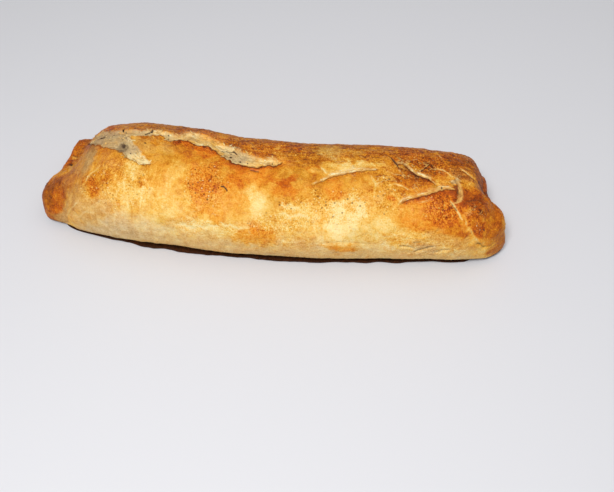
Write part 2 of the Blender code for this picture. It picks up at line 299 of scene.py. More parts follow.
# Threads are thin pale cracks in the crust: depth, how pale, and the route.
threads = {
    "ragged": 0.5, "narrowest": 0.2, "middle": 0.6, "fade": 1.6, "faintest": 0.55, "paleGain": 0.45,
    "list": (
        (0.5, 0.9, (79.3, 10.2, 0.2), (80.4, 11.3, 0.4), (81.4, 12.5, 0.43), (82.4, 13.7, 0.38),
         (83.8, 15.8, 0.3), (85.3, 17.5, 0.2)),
        (0.4, 0.6, (85.5, 15.4, 0.2), (86.5, 17.2, 0.3), (86.9, 18.7, 0.25), (87.7, 20.2, 0.2)),
        (0.3, 0.4, (88.1, 19.3, 0.15), (89.5, 20.8, 0.3), (91.2, 21.8, 0.3), (93, 22.2, 0.25),
         (94.6, 22.6, 0.15)),
        (0.4, 0.75, (82.8, -9.1, 0.2), (84.5, -7.8, 0.35), (86.7, -6.6, 0.4), (88.5, -5.3, 0.35),
         (90.5, -5.1, 0.2)),
        (0.3, 0.6, (73, -18.7, 0.2), (74.6, -14.8, 0.3), (75.9, -12.4, 0.25), (77.1, -9.7, 0.15)),
        (0.3, 0.75, (-77.7, 16.4, 0.15), (-76.6, 14, 0.3), (-75.3, 12, 0.35), (-73.1, 11, 0.3),
         (-71.5, 9.4, 0.15)),
        (0.2, 0.8, (24, -1.8, 0.15), (25.4, -0.5, 0.35), (26.5, 1.2, 0.2)),
        (0.2, 0.6, (45.8, 1.9, 0.15), (46.8, 4, 0.3), (48.2, 6, 0.3), (48, 8.8, 0.3), (47.9, 12.1, 0.2)),
        (0.2, 0.65, (53.2, 6.6, 0.15), (56.1, 5.4, 0.3), (59, 5.6, 0.33), (61.7, 7.2, 0.25),
         (63.3, 7.2, 0.15)),
        (0.2, 0.6, (70.4, -5.1, 0.15), (73.3, -6, 0.4), (76.3, -5.5, 0.4), (78.9, -3.7, 0.3),
         (80.2, -0.5, 0.2)),
        (0.2, 0.6, (55.1, 9.5, 0.15), (56.9, 10.7, 0.25), (58.3, 12.4, 0.2)),
        (0.2, 0.4, (66, 12.6, 0.2), (69, 11.8, 0.3), (72, 11, 0.2)),
        (0.3, 0.5, (-80.8, 23, 0.3), (-84, 23.2, 0.4), (-90, 22, 0.3)),
        (0.3, 0.8, (-34.5, 33.6, 0.2), (-31.5, 32.4, 0.4), (-29.5, 33.6, 0.45), (-26.7, 32.4, 0.3)),
        (0.3, 0.8, (-25.5, 31.4, 0.2), (-22.5, 32.2, 0.4), (-20.2, 30.6, 0.45), (-17, 30.2, 0.3)),
        (0.3, 0.8, (-15.5, 28.2, 0.2), (-13.7, 29.6, 0.4), (-11, 29, 0.4), (-8, 30.2, 0.35),
         (-4, 29.2, 0.2)),
        (0.25, 0.7, (9.5, 18, 0.2), (11.2, 19.4, 0.4), (13.4, 17.4, 0.4), (14.6, 19.6, 0.35),
         (16.4, 18.6, 0.2)),
        (0.25, 0.7, (8.6, 22.6, 0.2), (11.2, 21.6, 0.35), (13.6, 23.2, 0.4), (17.6, 21.6, 0.35),
         (21.9, 22.8, 0.2)),
        (0.2, 0.4, (-80.6, 30.2, 0.2), (-77.2, 29.2, 0.3), (-73, 30.4, 0.2)),
    ),
}

# Creases are slits and soft folds without dough, with painted shade at the bottom: depth, how dark that
# painted shade is, and the route.
creases = {
    "ragged": 0.15, "spread": 1.3, "narrowest": 0.2, "shoulderAt": 1.6, "shoulderWidth": 1.1,
    "shoulderHeight": 0.4, "fullWidth": 0.3, "shadeReach": 0.35, "shadeCore": 0.3,
    "list": (
        # in the valley at the left end
        (0.6, 0.5, (-100, -17.4, 0.4), (-96, -15, 0.5)),
        (1, 0.8, (-100, -11.6, 0.6), (-96.5, -9, 0.6)),
        (0.7, 0.4, (-99, -5.5, 0.5), (-95, -4, 0.5)),
        (0.8, 0.3, (-99.2, 0.6, 0.5), (-94.5, -0.5, 0.6)),
        # slits, darkened with painted shade
        (0.4, 1, (-78.2, -8.4, 0.35), (-76.6, -9, 0.55), (-75.2, -9.5, 0.35)),
        (0.5, 0.9, (-79.9, -8.9, 0.3), (-78.8, -8.8, 0.4)),
        (0.3, 1, (-55.4, -9.6, 0.2), (-54.1, -10.5, 0.3), (-52.4, -11.6, 0.2)),
        (0.3, 0.75, (-21, -6.3, 0.15), (-18.3, -7.6, 0.25), (-15.6, -7.6, 0.3), (-13.8, -6.1, 0.15)),
        (0.4, 0.6, (-6, 3.4, 0.3), (-2.5, 3.6, 0.3)),
        (0.5, 0.8, (-17, 13.1, 0.2), (-15.8, 13.1, 0.3), (-14.6, 13.9, 0.3), (-14.1, 14.8, 0.2)),
        # folds at the right end, and one between the tears
        (0.9, 0.75, (51.2, -13.4, 0.2), (53.5, -10.9, 0.35), (54.9, -8.9, 0.45), (56.2, -6.9, 0.45),
         (57.2, -4.5, 0.3)),
        (0.4, 0.6, (78.9, 0.3, 0.15), (80.6, 1.9, 0.3), (81.9, 3.9, 0.25), (82.3, 5.9, 0.15)),
        (0.5, 0.6, (80.1, 11.3, 0.2), (82.3, 13.8, 0.3)),
        (0.3, 0.3, (-40.5, -4.2, 0.3), (-38.9, -2.7, 0.4), (-35.4, 0.7, 0.3)),
        (0.7, 0.45, (85.9, 9, 0.3), (88.4, 7.9, 0.5), (91, 6.9, 0.5), (94.3, 4.3, 0.3)),
        (0.7, 0.5, (92.8, 23.7, 0.3), (94.6, 22.6, 0.4), (98.6, 24, 0.3)),
        # wrinkles low on the front
        (0.2, 0, (-35.1, 32.9, 0.5), (-29, 34.3, 0.7), (-20.2, 30.6, 0.6), (-15, 29.3, 0.6),
         (-6.3, 31.5, 0.5)),
        (0.5, 0.5, (60.6, 33.3, 0.3), (63.6, 32.7, 0.4), (66.1, 33.1, 0.3)),
        (0.6, 0.55, (67.1, 35.6, 0.3), (70.8, 33.5, 0.4), (74.8, 31.4, 0.3)),
        (0.4, 0.5, (65.8, 30.3, 0.2), (69.1, 29.8, 0.3)),
        (0.6, 0.4, (76.1, 35.4, 0.3), (78.5, 33.7, 0.4), (81.3, 32.7, 0.3)),
        (0.3, 0.1, (28, 33.4, 0.3), (36, 32.8, 0.4), (45, 33, 0.3)),
    ),
}

# Small pits darkened with painted shade: along, round, radius, how dark. The first three are the vent.
pits = {
    "lumps": (1.4, 0.25), "depth": 0.6, "hollowEdge": (1.2, 0.2), "shadeEdge": (1.25, 0.6),
    "list": ((-62.6, 0.5, 3.2, 0.5), (-62.6, -0.7, 1.2, 0.69), (-62.7, 2.8, 1.8, 0.46),
             (-53.4, -2.9, 0.5, 0.9), (-66, -11.5, 0.7, 0.9), (-70.6, -9.1, 0.6, 0.9),
             (-61, -12.5, 0.5, 0.9), (-45.1, -11, 0.55, 0.95), (-16, -3.6, 0.6, 0.95),
             (-11.5, -1.5, 0.5, 0.9), (-16.5, -6, 0.45, 0.9), (-8, -1, 0.45, 0.8), (-49, -10.4, 0.5, 0.8),
             (-58, 3.6, 0.4, 0.8), (2.6, -2.6, 0.5, 0.8), (-32.5, -3.7, 0.45, 0.7), (-3.9, 27.5, 0.4, 0.6),
             (25, 23, 0.35, 0.6), (36.3, 26.5, 0.3, 0.7), (30.3, 32.8, 0.35, 0.6), (53.5, 3.1, 0.45, 0.8),
             (58.2, 0.2, 0.4, 0.9), (52.7, 18.9, 0.35, 0.6), (45.6, 19.2, 0.3, 0.6),
             (61.7, 13.6, 0.35, 0.6), (12, -11.5, 0.4, 0.7), (-51.5, 16.5, 0.7, 0.5), (95, 17, 0.5, 0.7),
             (75.6, 4.4, 0.55, 0.85)),
}


def acrossRoute(route):
    # signed distance to a route, positive in front of it, the half width there and the way along it
    nearest = np.full(along.shape, np.inf)
    side, width, way = np.zeros((3, *along.shape))
    start = 0.0
    for (x0, round0, width0), (x1, round1, width1) in zip(route[:-1], route[1:]):
        stepX, stepRound = x1 - x0, round1 - round0
        done = (along - x0) * stepX + (around - round0) * stepRound
        done = np.clip(done / (stepX * stepX + stepRound * stepRound), 0, 1)
        offX = along - x0 - done * stepX
        offRound = around - round0 - done * stepRound
        distance = np.hypot(offX, offRound)
        length = np.hypot(stepX, stepRound)
        closer = distance < nearest
        nearest = np.where(closer, distance, nearest)
        side = np.where(closer, np.sign(stepX * offRound - stepRound * offX), side)
        width = np.where(closer, width0 + done * (width1 - width0), width)
        way = np.where(closer, start + done * length, way)
        start += length
    return nearest * side, width, way


def spot(atX, atRound, reachX, reachRound, shiftX=0.0, shiftRound=0.0):
    # distance to a place on the crust, 1 where its reach ends
    return np.hypot((along + shiftX - atX) / reachX, (around + shiftRound - atRound) / reachRound)


def softSpots(places, edge, uneven=0.0):
    # each place's amount, and the share of it that every point gets
    for *place, amount in places:
        yield amount, ease(*edge, spot(*place) + uneven)


lift = np.zeros(along.shape)        # how far the surface moves along its normal, mm
torn = np.zeros(along.shape)        # under the crust above 0.5, with a soft band either side
tone = np.full(along.shape, tears["freshTone"])
lipBakeAndShade, stain, underline, crack, fibreAlong, fibreAcross = np.zeros((6, *along.shape))
gape = np.ones(along.shape)
deepest = np.full(along.shape, np.inf)
largeSize, smallSize = tears["raggedSizes"]
raggedNoise = middleNoise(points, largeSize, 2) + tears["smallShare"] * fineNoise(points, smallSize)
apart = points + tears["floorApart"]
floorNoise = sum(high * fineNoise(apart, size, 2) for size, high in tears["floorLumps"])
for tear in tears["routes"].values():
    off, width, way = acrossRoute(tear["route"])
    past = np.abs(off) - width + tears["ragged"] * raggedNoise * np.clip(width, *tears["raggedWidths"])
    outside = np.maximum(past, 0)
    front = ease(-tears["turnOver"], tears["turnOver"], off)
    inside = ease(0.0, -2 * tears["wallReach"], past)
    fullness = np.clip(width / tears["fullWidth"], tears["leastFull"], 1)
    lip = blend(tear["lip"], front) * fullness
    lip = lip * np.exp(-(outside / tears["lipReach"]) ** 2) * (1 + tears["lipRagged"] * raggedNoise)
    backDepth, frontDepth = tear["depth"]
    slope = np.clip(0.5 + off / np.maximum(2 * width, tears["leastAcross"]), 0, 1)
    floorLift = (floorNoise - backDepth - (frontDepth - backDepth) * slope) * fullness
    lift = np.where(past > 0, lift + lip * (torn < 0.5), lift)
    lift = lift * (1 - inside) + floorLift * inside + lip * (1 - inside) * (past <= 0)
    band = np.where(past > 0, blend(tear["band"], front), tears["insideBand"])
    torn = np.maximum(torn, np.clip(0.5 - past / band, 0, 1))
    rim = np.exp(-(outside / tears["bakeReach"]) ** 2) * np.clip(width / tears["bakeWidth"], 0, 1)
    lipBakeAndShade = np.maximum(lipBakeAndShade, rim * blend(tear["lipBakeAndShade"], front))
    line = tear["underline"] * front * ease(*tears["lineReach"], past)
    underline = np.maximum(underline, line * np.clip(width / tears["lineWidth"], 0, 1))
    nearer = past < deepest
    fibreAlong = np.where(nearer, way, fibreAlong)
    fibreAcross = np.where(nearer, off, fibreAcross)
    gape = np.where(nearer, tear["gape"], gape)
    deepest = np.minimum(deepest, past)
for amount, share in softSpots(tears["softEdges"], tears["softEdge"]):
    underline = underline * (1 - amount * share)
    lipBakeAndShade = lipBakeAndShade * (1 - amount * share)
for level, share in softSpots(tears["tones"], tears["toneEdge"], lumps(middleNoise, *tears["toneLumps"])):
    tone = tone + (level - tone) * share
for depth, dark, *route in creases["list"]:
    off, width = acrossRoute(route)[:2]
    reach = width + creases["ragged"] * raggedNoise
    lift -= depth * np.exp(-(off / np.maximum(reach * creases["spread"], creases["narrowest"])) ** 2)
    shoulder = np.exp(-((np.abs(off) - creases["shoulderAt"]) / creases["shoulderWidth"]) ** 2)
    lift += creases["shoulderHeight"] * depth * shoulder * np.clip(width / creases["fullWidth"], 0, 1)
    edges = (reach + creases["shadeReach"], reach * creases["shadeCore"])
    stain = np.maximum(stain, dark * ease(*edges, np.abs(off)))
for depth, paleness, *route in threads["list"]:
    off, width = acrossRoute(route)[:2]
    reach = np.maximum(width * (1 + threads["ragged"] * raggedNoise), threads["narrowest"])
    lift -= depth * np.exp(-(off / reach) ** 2)
    line = np.clip(threads["middle"] - (np.abs(off) - width) / threads["fade"], 0, 1)
    crack = np.maximum(crack, line * (threads["faintest"] + threads["paleGain"] * paleness))
for atX, atRound, radius, dark in pits["list"]:
    far = spot(atX, atRound, radius, radius) + lumps(fineNoise, *pits["lumps"], 1)
    lift -= pits["depth"] * radius * dark ** 3 * ease(*pits["hollowEdge"], far)
    stain = np.maximum(stain, dark * ease(*pits["shadeEdge"], far))
print("tears, creases and pits", round(float((torn > 0.5).mean()), 4))

# Puffed and sunken places of the crust: along, round, reach along, reach round, height.
puffs = {
    "list": ((-22, 13, 12, 14, 0.9), (-2, 17, 7, 9, -0.8), (11, 10, 7, 6, 0.6), (32, 9, 7, 6, 0.5),
             (77, 13, 8, 9, 0.9), (91, 9, 6, 8, 0.7), (-65, 8, 8, 7, 0.6), (-78, 4, 6, 9, -0.9),
             (0, 31, 9, 5, 0.5), (36, 36, 11, 3, 0.5), (59, -4, 3, 5, -0.7), (-50, 20, 9, 9, 0.4),
             (-37, 14, 5, 9, -0.3), (64, -1, 7, 3, 0.5), (-10, -14, 9, 6, 0.5), (52, 6, 7, 4, 0.4),
             (45, 24, 16, 7, 0.4)),
    "roundness": 1.2, "broad": (24.0, 0.45), "middle": (9.0, 0.26), "soleFade": (1.5, 7.0),
}
away = ease(*puffs["soleFade"], points[..., 2])
for *place, height in puffs["list"]:
    lift += away * height * np.exp(-spot(*place) ** 2 * puffs["roundness"])
lift += away * (lumps(broadNoise, *puffs["broad"], 1) + lumps(middleNoise, *puffs["middle"], 1))

# Browning is painted as soft patches with uneven edges, later ones over earlier ones.
# A patch: along, round, reach along, reach round, brown (0 pale, 1 darkest), warm (-1 olive, 1 red) and
# matt and shade (0 to 1): a duller, greyer browning for the unglazed lower sides, which also paints the
# grey shade low on the front and in hollows. Warm and matt and shade are 0 where they are left out.
browning = {
    "warp": ((9.0, 2.4), (3.6, 1.7), (1.6, 0.8)), "sure": 0.92, "patchEdge": (1.35, 0.5),
    "endWarp": 0.4, "endEdge": (1.2, 0.6), "lipShare": 0.9, "crumple": ((5.0, 0.09), (2.2, 0.05)),
    "warmLumps": (14.0, 0.3), "lipWarm": 0.4, "warpsApart": 50.0,
    # round, brown, warm, matt and painted shade
    "ground": ((-60, 0.5, 0, 0.6), (-48, 0.46, 0, 0.6), (-38, 0.56, 0, 0.5), (-28, 0.7, 0, 0.3),
               (-20, 0.74, 0.1, 0), (-12, 0.7, 0.1, 0), (-5, 0.62, 0, 0), (6, 0.54, 0, 0), (16, 0.44, 0, 0),
               (24, 0.36, 0, 0), (32, 0.33, 0, 0.2), (38, 0.36, 0, 0.5), (46, 0.38, 0, 0.6),
               (60, 0.5, 0, 0.6)),
    "patches": (
        # left end and left third
        (-98, -24, 5, 6, 0.92, 0, 0.1), (-98, 12, 13, 10, 0.82, -0.1, 0.1),
        (-101, 10, 6, 6, 0.86, -0.05, 0.1), (-93, 7, 5, 5, 0.84, 0.1), (-96, 15, 5, 5, 0.76, 0.4),
        (-96, 22, 5, 3.5, 0.7, 0, 0.5), (-100, -11.5, 3, 4, 0.9, 0.4), (-97.5, -14.5, 1.8, 2.5, 0.35),
        (-92, 21, 6, 3, 0.57, 0, 0.8), (-90, 5, 5, 8, 0.66, 0.2, 0.3), (-84, 20, 6, 6, 0.6, 0.1, 0.5),
        (-79.5, 2, 5, 9, 0.6, 0, 0.9), (-76, 35, 7, 6, 0.5, 0, 0.8), (-66, 40, 26, 13, 0.34, 0, 0.45),
        (-66, 42, 20, 8, 0.36, 0, 0.9), (-71, 23.5, 7, 4.5, 0.42), (-55, 23, 10, 8, 0.28, -0.1),
        (-74, 28.5, 12, 7, 0.45, 0, 0.5), (-78, 15, 4, 5, 0.58, 0.1, 0.2), (-71.5, 16.5, 6.5, 5, 0.66, 0.3),
        (-73.5, 16.5, 3.5, 2, 0.64, 0.6), (-67.5, 7.5, 8, 6, 0.59, 0.05, 0.15), (-54.5, 11, 4, 3.5, 0.27),
        (-51.5, 16.5, 1.6, 1.6, 0.6),
        # the flap behind the tear, and the back
        (-57, -17, 22, 6, 0.67), (-36, -20.5, 10, 3.5, 0.82, 0.1), (-59, -4.5, 5, 3, 0.46),
        (-41, -4, 5, 2.5, 0.74, 0.1), (-75, -15, 4, 3, 0.82, 0.7), (-28, -16, 6, 5, 0.6, 0.5),
        (-3, -11, 9, 6, 0.68, 0.4), (9, -14, 8, 6, 0.72, 0.3), (11.5, -15.5, 2, 5, 0.78, 0.8),
        (27.5, -13, 6.5, 8, 0.5, -0.3, 0.2), (23, -6, 7, 2.2, 0.72), (3, -14, 1.5, 3, 0.48),
        (24.5, -11, 1.5, 3.5, 0.48), (42, -14, 9, 6.5, 0.68), (63.5, -12.5, 7, 7, 0.79, 0.2),
        (81, -14, 7, 5, 0.8, 0.3),
        # the island between the tears, and the front lip
        (-51, -2, 11, 5, 0.53, -0.1, 0.25), (-35.5, -1, 6.5, 4.5, 0.62, 0.1), (-49, -3, 1.7, 1.6, 0.62),
        (-27, -4, 6.5, 2.8, 0.66, 0.7), (-37, -6, 4, 1.5, 0.76, 0.6), (-12, 2.6, 9, 1.8, 0.68, 0.5),
        (-4, 3.5, 4, 1.5, 0.64, 0.5), (-21, 4.5, 1.8, 5, 0.72, 0.5),
        # middle
        (-22.5, 15, 10, 12, 0.505, 0.7), (-23, 14, 5, 4, 0.64, 1), (-37, 12, 4, 7, 0.34, -0.1),
        (-44.5, 12, 4, 4, 0.46), (-39, 25.5, 8, 6, 0.28), (-11, 8, 4, 5.5, 0.64, 0.5),
        (-17, 23.5, 5, 4.5, 0.5, 0.5), (-20, 31, 15, 2, 0.22, 0, 0.1), (-36, 39.5, 14, 5, 0.34, 0, 0.5),
        (-48, 37, 7, 3.5, 0.24, 0, 0.6), (-31, 36.5, 7, 3.5, 0.27, 0.1, 0.2), (-2, 18, 5.5, 8, 0.2),
        (0, 33, 11, 6, 0.45, 0.2, 0.1), (3, 31, 5, 3.4, 0.53, 0.5), (-4, 34, 6, 3, 0.48, 0.3),
        (0, 29.5, 1.5, 1.5, 0.5, 1), (0.5, 6, 6.5, 4, 0.56, 0.4), (10.5, -1, 5, 5, 0.6),
        (13, 5.6, 4, 2, 0.7, 0.9), (9, 8, 4, 2, 0.74, 0.9), (11, 12, 6, 3.4, 0.65, 0.6),
        (11, 18, 2.6, 2.6, 0.46, 0.2), (22, 0, 3.4, 3, 0.7, 0.5), (31.5, 9.5, 5, 5, 0.51, 0.6),
        (39.5, 8.5, 4, 4, 0.44), (37, 22, 9, 8, 0.11), (33, 26, 4, 3.5, 0.08), (42, 19, 4, 4, 0.1),
        (38, 16, 3, 3, 0.22), (20, 22, 9, 5, 0.26), (47, 14, 4, 4, 0.36), (18.5, 36, 10, 3, 0.36, 0.1, 0.4),
        (27, 34.4, 4, 2.6, 0.24, 0, 0.3), (36.5, 36, 9, 2.6, 0.55, 0.2), (50, 24, 9, 6, 0.24),
        (53, 34, 9, 4.5, 0.26, 0, 0.3), (38, -3.6, 11, 2.8, 0.26), (29, 0, 8, 2, 0.4),
        (61, 18, 8, 7, 0.44, 0.2), (67, 22, 7, 5, 0.46, 0.1),
        # right end, and a few places on the lips and in the middle
        (59.5, -5, 2.4, 3.2, 0.54, -0.7, 0.1), (56.5, -8.5, 1.6, 3, 0.6, 0, 0.8),
        # the patches at (64.5, 1.5) and (62, 5.5) are painted shade under the fold
        (64.5, 1.5, 8, 3.4, 0.86, 0.1), (62, 5.5, 8, 3.5, 0.7, 0.2), (4, -2.5, 4, 3, 0.5, 0.5),
        (-4, -1.5, 4, 3, 0.55, 0.25), (-34.5, -10.5, 3.5, 1.4, 0.62, 0.5), (70, -8, 7, 6, 0.82, 0.2),
        (85, -5, 4, 4, 0.76, 0.2, 0.3), (84, 15, 3, 6, 0.74, 0.5), (84, 8, 4, 5, 0.87, 0.5),
        (-10, 20, 4, 5, 0.46, 0.3), (48, 6.5, 5, 4, 0.52), (54.5, 9.5, 4.5, 3.5, 0.5),
        (55.5, 12.5, 1.8, 2, 0.58, 0.7), (74.5, -6, 6, 4.5, 0.78, 0.3), (77, 14, 10, 9, 0.66, 0.8),
        (77, 8.5, 7, 3, 0.78, 0.7), (77, 27, 17, 4, 0.48, 0, 0.3), (60, 29.5, 6, 4, 0.3),
        (68, 26.5, 5, 4, 0.33), (72, 34, 6, 3, 0.42, 0, 0.6), (67, 20.5, 6, 4, 0.56, 0.6),
        (84, 21.5, 5, 3.5, 0.7, 0.3), (82, -1, 2, 3, 0.3, 0, 1), (90.5, 8, 6.5, 7, 0.83, 0.5),
        (94.5, -5.5, 4, 7, 0.95, 0.3, 0.1), (87.5, -13.5, 6, 5, 0.88, 0.2), (103, 25, 4, 8, 0.74, 0.2),
        (91.5, 17, 4, 3.5, 0.8, 0.6), (100, 12, 5, 14, 0.8, 0.2),
    ),
    # centre in space, radius, brown, warm, matt and painted shade: places at the ends
    "ends": (((104, -9, 3), 8, 0.78, 0.2, 0.1), ((-104, -13, 4), 8, 0.8, 0.2, 0.1),
             ((-103, 10, 5), 8, 0.8, 0.4, 0), ((-100, 24, 8), 8, 0.76, 0.3, 0),
             ((98, 12, 14), 11, 0.82, 0.4, 0)),
}


def paintPatches(settings):
    # brown, warm, and matt with painted shade at every point: the ground first, then each patch over it
    shiftX = sum(lumps(warpNoise, size, far) for size, far in settings["warp"])
    apart = points + settings["warpsApart"]
    shiftRound = sum(far * middleNoise(apart, size, 2) for size, far in settings["warp"])
    ground = np.array(settings["ground"], float)
    paint = np.stack([curve(ground[:, 0], ground[:, k])(around + shiftRound) for k in (1, 2, 3)], -1)
    layers = []
    for patch in settings["patches"]:
        far = spot(*patch[:4], shiftX, shiftRound)
        layers.append((ease(*settings["patchEdge"], far), patch[4:]))
    shift = np.stack([shiftX, shiftRound, shiftRound], -1) * settings["endWarp"]
    for centreAt, radius, *levels in settings["ends"]:
        far = np.linalg.norm(points + shift - centreAt, axis=-1)
        layers.append((ease(*settings["endEdge"], far / radius), levels))
    for share, levels in layers:
        levels = np.array((*levels, 0, 0)[:3])
        paint = paint + (levels - paint) * (settings["sure"] * share[..., None])
    return paint[..., 0], paint[..., 1], paint[..., 2]


bake, warm, matt = paintPatches(browning)
bake = bake + lipBakeAndShade * (1 - bake) * browning["lipShare"]
for size, high in browning["crumple"]:
    bake = bake + lumps(middleNoise, size, high)
warm = warm + lumps(broadNoise, *browning["warmLumps"]) + browning["lipWarm"] * lipBakeAndShade

# The sole is evenly toasted, with a darker, uneven rim where it meets the table: toasting together with
# painted shade, taller at the front. Pairs are back and front.
sole = {
    "rim": (1.0, 2.6), "rimLumps": (8.0, 0.7), "rimFade": 1.4, "rimDark": 0.9,
    "flat": (0.35, 0.05), "dark": 0.35, "darkLumps": (6.0, 0.25), "bake": 0.78, "bakeFade": (4.0, 1.0),
}
rimLine = blend(sole["rim"], towardsFront(points[..., 1])) + lumps(middleNoise, *sole["rimLumps"])
char = sole["rimDark"] * ease(rimLine + sole["rimFade"], rimLine, points[..., 2])
onSole = ease(*sole["flat"], points[..., 2])
char = char * (1 - onSole) + onSole * (sole["dark"] + lumps(middleNoise, *sole["darkLumps"], 3))
bake = bake + (sole["bake"] - bake) * ease(*sole["bakeFade"], points[..., 2])

# Where the crust is granular: along, round, reach along, reach round, amount.
grainy = {
    "least": 0.12, "lumps": (4.0, 0.2), "edge": (1.25, 0.55), "tornFade": 0.6,
    "list": ((-96, 13, 7, 6, 0.22), (-60, 18, 16, 13, 0.55), (-24, 14, 10, 12, 0.8), (-21, 6, 3, 6, 0.8),
             (11, 18, 3, 3, 1), (24, 12, 3, 4, 0.9), (36, 17, 14, 9, 0.7), (10, 25, 12, 4, 0.7),
             (54, 12, 10, 8, 0.6), (76, 14, 8, 7, 1), (91, 15, 5, 7, 0.55), (52, 3, 3, 3, 0.7),
             (98, 15, 4, 10, 0.25), (70, -8, 14, 8, 0.45), (5, 27, 9, 4, 0.7), (-75, 17, 6, 6, 0.7),
             (20, 20, 8, 7, 0.6), (0, -13, 60, 8, 0.3), (-22, 31, 16, 3, 0.4), (-60, -16, 24, 5, 0.25)),
}
grain = np.full(along.shape, grainy["least"])
for amount, share in softSpots(grainy["list"], grainy["edge"], lumps(middleNoise, *grainy["lumps"])):
    grain = np.maximum(grain, amount * share)
grain = grain * away * (1 - np.clip(torn * 2 - grainy["tornFade"], 0, 1))

# Where thin pale lines of lifted skin run over the crust: along, round, reach along, reach round, amount.
flaky = {
    "least": 0.1, "lumps": (6.0, 0.2), "edge": (1.25, 0.5),
    "list": ((60, 2, 26, 12, 0.9), (75, -8, 16, 10, 0.9), (20, -10, 40, 9, 0.6), (-15, 28, 24, 6, 0.6),
             (-70, 14, 12, 8, 0.6), (66, 30, 22, 6, 0.5), (90, 12, 10, 12, 0.5), (-60, -16, 26, 6, 0.4),
             (-90, 4, 8, 16, 0.5)),
}
flake = np.full(along.shape, flaky["least"])
for amount, share in softSpots(flaky["list"], flaky["edge"], lumps(middleNoise, *flaky["lumps"])):
    flake = np.maximum(flake, amount * share)

# Which way the skin is drawn: 1 lengthwise, -1 upright; along, round, reach along, reach round, amount.
drawn = {
    "edge": (1.2, 0.6),
    "list": ((0, -18, 120, 16, 1), (70, -3, 30, 9, 0.8), (-51, 21, 16, 16, -1), (-70, 38, 26, 9, -0.6),
             (-98, 0, 12, 12, -0.6), (0, 33, 50, 6, 0.5), (68, 31, 20, 8, 0.8), (34, 24, 14, 12, -0.5)),
}
sweep = np.zeros(along.shape)
for amount, share in softSpots(drawn["list"], drawn["edge"]):
    sweep = sweep + (amount - sweep) * share
print("browning painted")

fine = points + normals * lift[..., None]
fine[..., 2] = np.maximum(fine[..., 2], 0.0)
fine -= centre


def ringMesh(name, rings, attributes):
    # a closed body with a pole at each end; attributes are one value a point
    count, width = rings.shape[:2]
    poles = np.array([rings[0].mean(0), rings[-1].mean(0)])
    verts = np.vstack([rings.reshape(-1, 3), poles]) * mm
    index = np.arange(count * width).reshape(count, width)
    turned = np.roll(index, -1, axis=1)
    quads = np.stack([index[:-1], turned[:-1], turned[1:], index[1:]], -1).reshape(-1, 4)
    startFan = np.stack([index[0], np.full(width, count * width), turned[0]], -1)
    endFan = np.stack([index[-1], turned[-1], np.full(width, count * width + 1)], -1)
    mesh = bpy.data.meshes.new(name)
    mesh.from_pydata(verts.tolist(), [], quads.tolist() + startFan.tolist() + endFan.tolist())
    for key, values in attributes.items():
        layer = mesh.attributes.new(key, "FLOAT", "POINT")
        ends = [values[0].mean(), values[-1].mean()]
        layer.data.foreach_set("value", np.concatenate([values.ravel(), ends]).astype(np.float32))
    mesh.validate()
    mesh.update()
    return mesh


def placed(name, data):
    piece = bpy.data.objects.new(name, data)
    bpy.context.scene.collection.objects.link(piece)
    return piece


crustMesh = ringMesh("bakedCrust", fine, {
    "bake": np.clip(bake, 0, 1), "warm": np.clip(warm, -1, 1), "matt": matt, "torn": torn, "tone": tone,
    "stain": stain, "char": char, "grain": grain, "away": away, "crack": crack, "flake": flake,
    "underline": underline, "fibreAlong": fibreAlong, "fibreAcross": fibreAcross, "gape": gape,
    "sweep": sweep,
})
crust = placed("bakedCrust", crustMesh)
print("crust mesh", len(crustMesh.polygons))


# A thin dark skirt lies round the foot: a sheet of painted shadow under the overhanging wall, shaped like
# baked-on juice. It comes out further where that shadow is wider.

skirt = {
    "height": 0.9, "lift": 0.05, "samples": 28, "cornerPower": 6.0, "lookDown": 54.0, "backReach": 1.2,
    "longer": 1.01, "endRings": 16, "tuck": 5.0, "bake": 0.95, "char": (0.45, 0.82),
    "ragged": ((9.0, 0.35), (3.0, 0.12)), "raggedShares": (0.7, 0.5), "raggedAt": (40.0, 7.0),
    # place along, reach past the table that the wall hides
    "reach": ((-104, 1.5), (-92, 1.7), (-81, 1.8), (-69, 2.2), (-60, 2.9), (-52, 3.5), (-30, 3.5),
              (-8, 3.1), (18, 3.1), (40, 2.6), (46, 3.4), (52, 2.3), (59, 3), (65, 2.2), (91, 1.8),
              (104, 1.4)),
}


def skirtRings(settings):
    steep = math.tan(math.radians(settings["lookDown"]))
    reach = curve(*np.array(settings["reach"], float).T)
    backRagged, frontRagged = settings["raggedShares"]
    turn = np.linspace(0, 2 * np.pi, settings["samples"], endpoint=False)
    power = 2 / settings["cornerPower"]
    sideways = np.sign(np.sin(turn)) * np.abs(np.sin(turn)) ** power
    upward = 0.5 - 0.5 * np.sign(np.cos(turn)) * np.abs(np.cos(turn)) ** power
    rings = []
    body = points[roll["capRings"]:-roll["capRings"]]
    for count, ring in enumerate(body):
        fromEnd = min(count, len(body) - 1 - count) / settings["endRings"]
        fade = math.sin(min(fromEnd, 1) * math.pi / 2)
        tuck = settings["tuck"] * (1 - fade)
        front = ring[np.argmin(ring[:, 1] * steep + ring[:, 2])]
        back = ring[np.argmin(ring[:, 2] - ring[:, 1] * steep)]
        at = np.array([front[0], *settings["raggedAt"]])
        edge = sum(high * fineNoise(at, size) for size, high in settings["ragged"])
        frontY = front[1] + front[2] / steep - fade * reach(front[0]) * (1 + frontRagged * edge) + tuck
        backY = back[1] - back[2] / steep + fade * settings["backReach"] * (1 + backRagged * edge) - tuck
        share = 0.5 + 0.5 * sideways
        x = blend((front[0], back[0]), share)
        y = blend((frontY, backY), share)
        rings.append(np.column_stack([x, y, settings["lift"] + settings["height"] * upward]))
    return np.array(rings) * (settings["longer"], 1, 1) - centre


skirtShape = skirtRings(skirt)
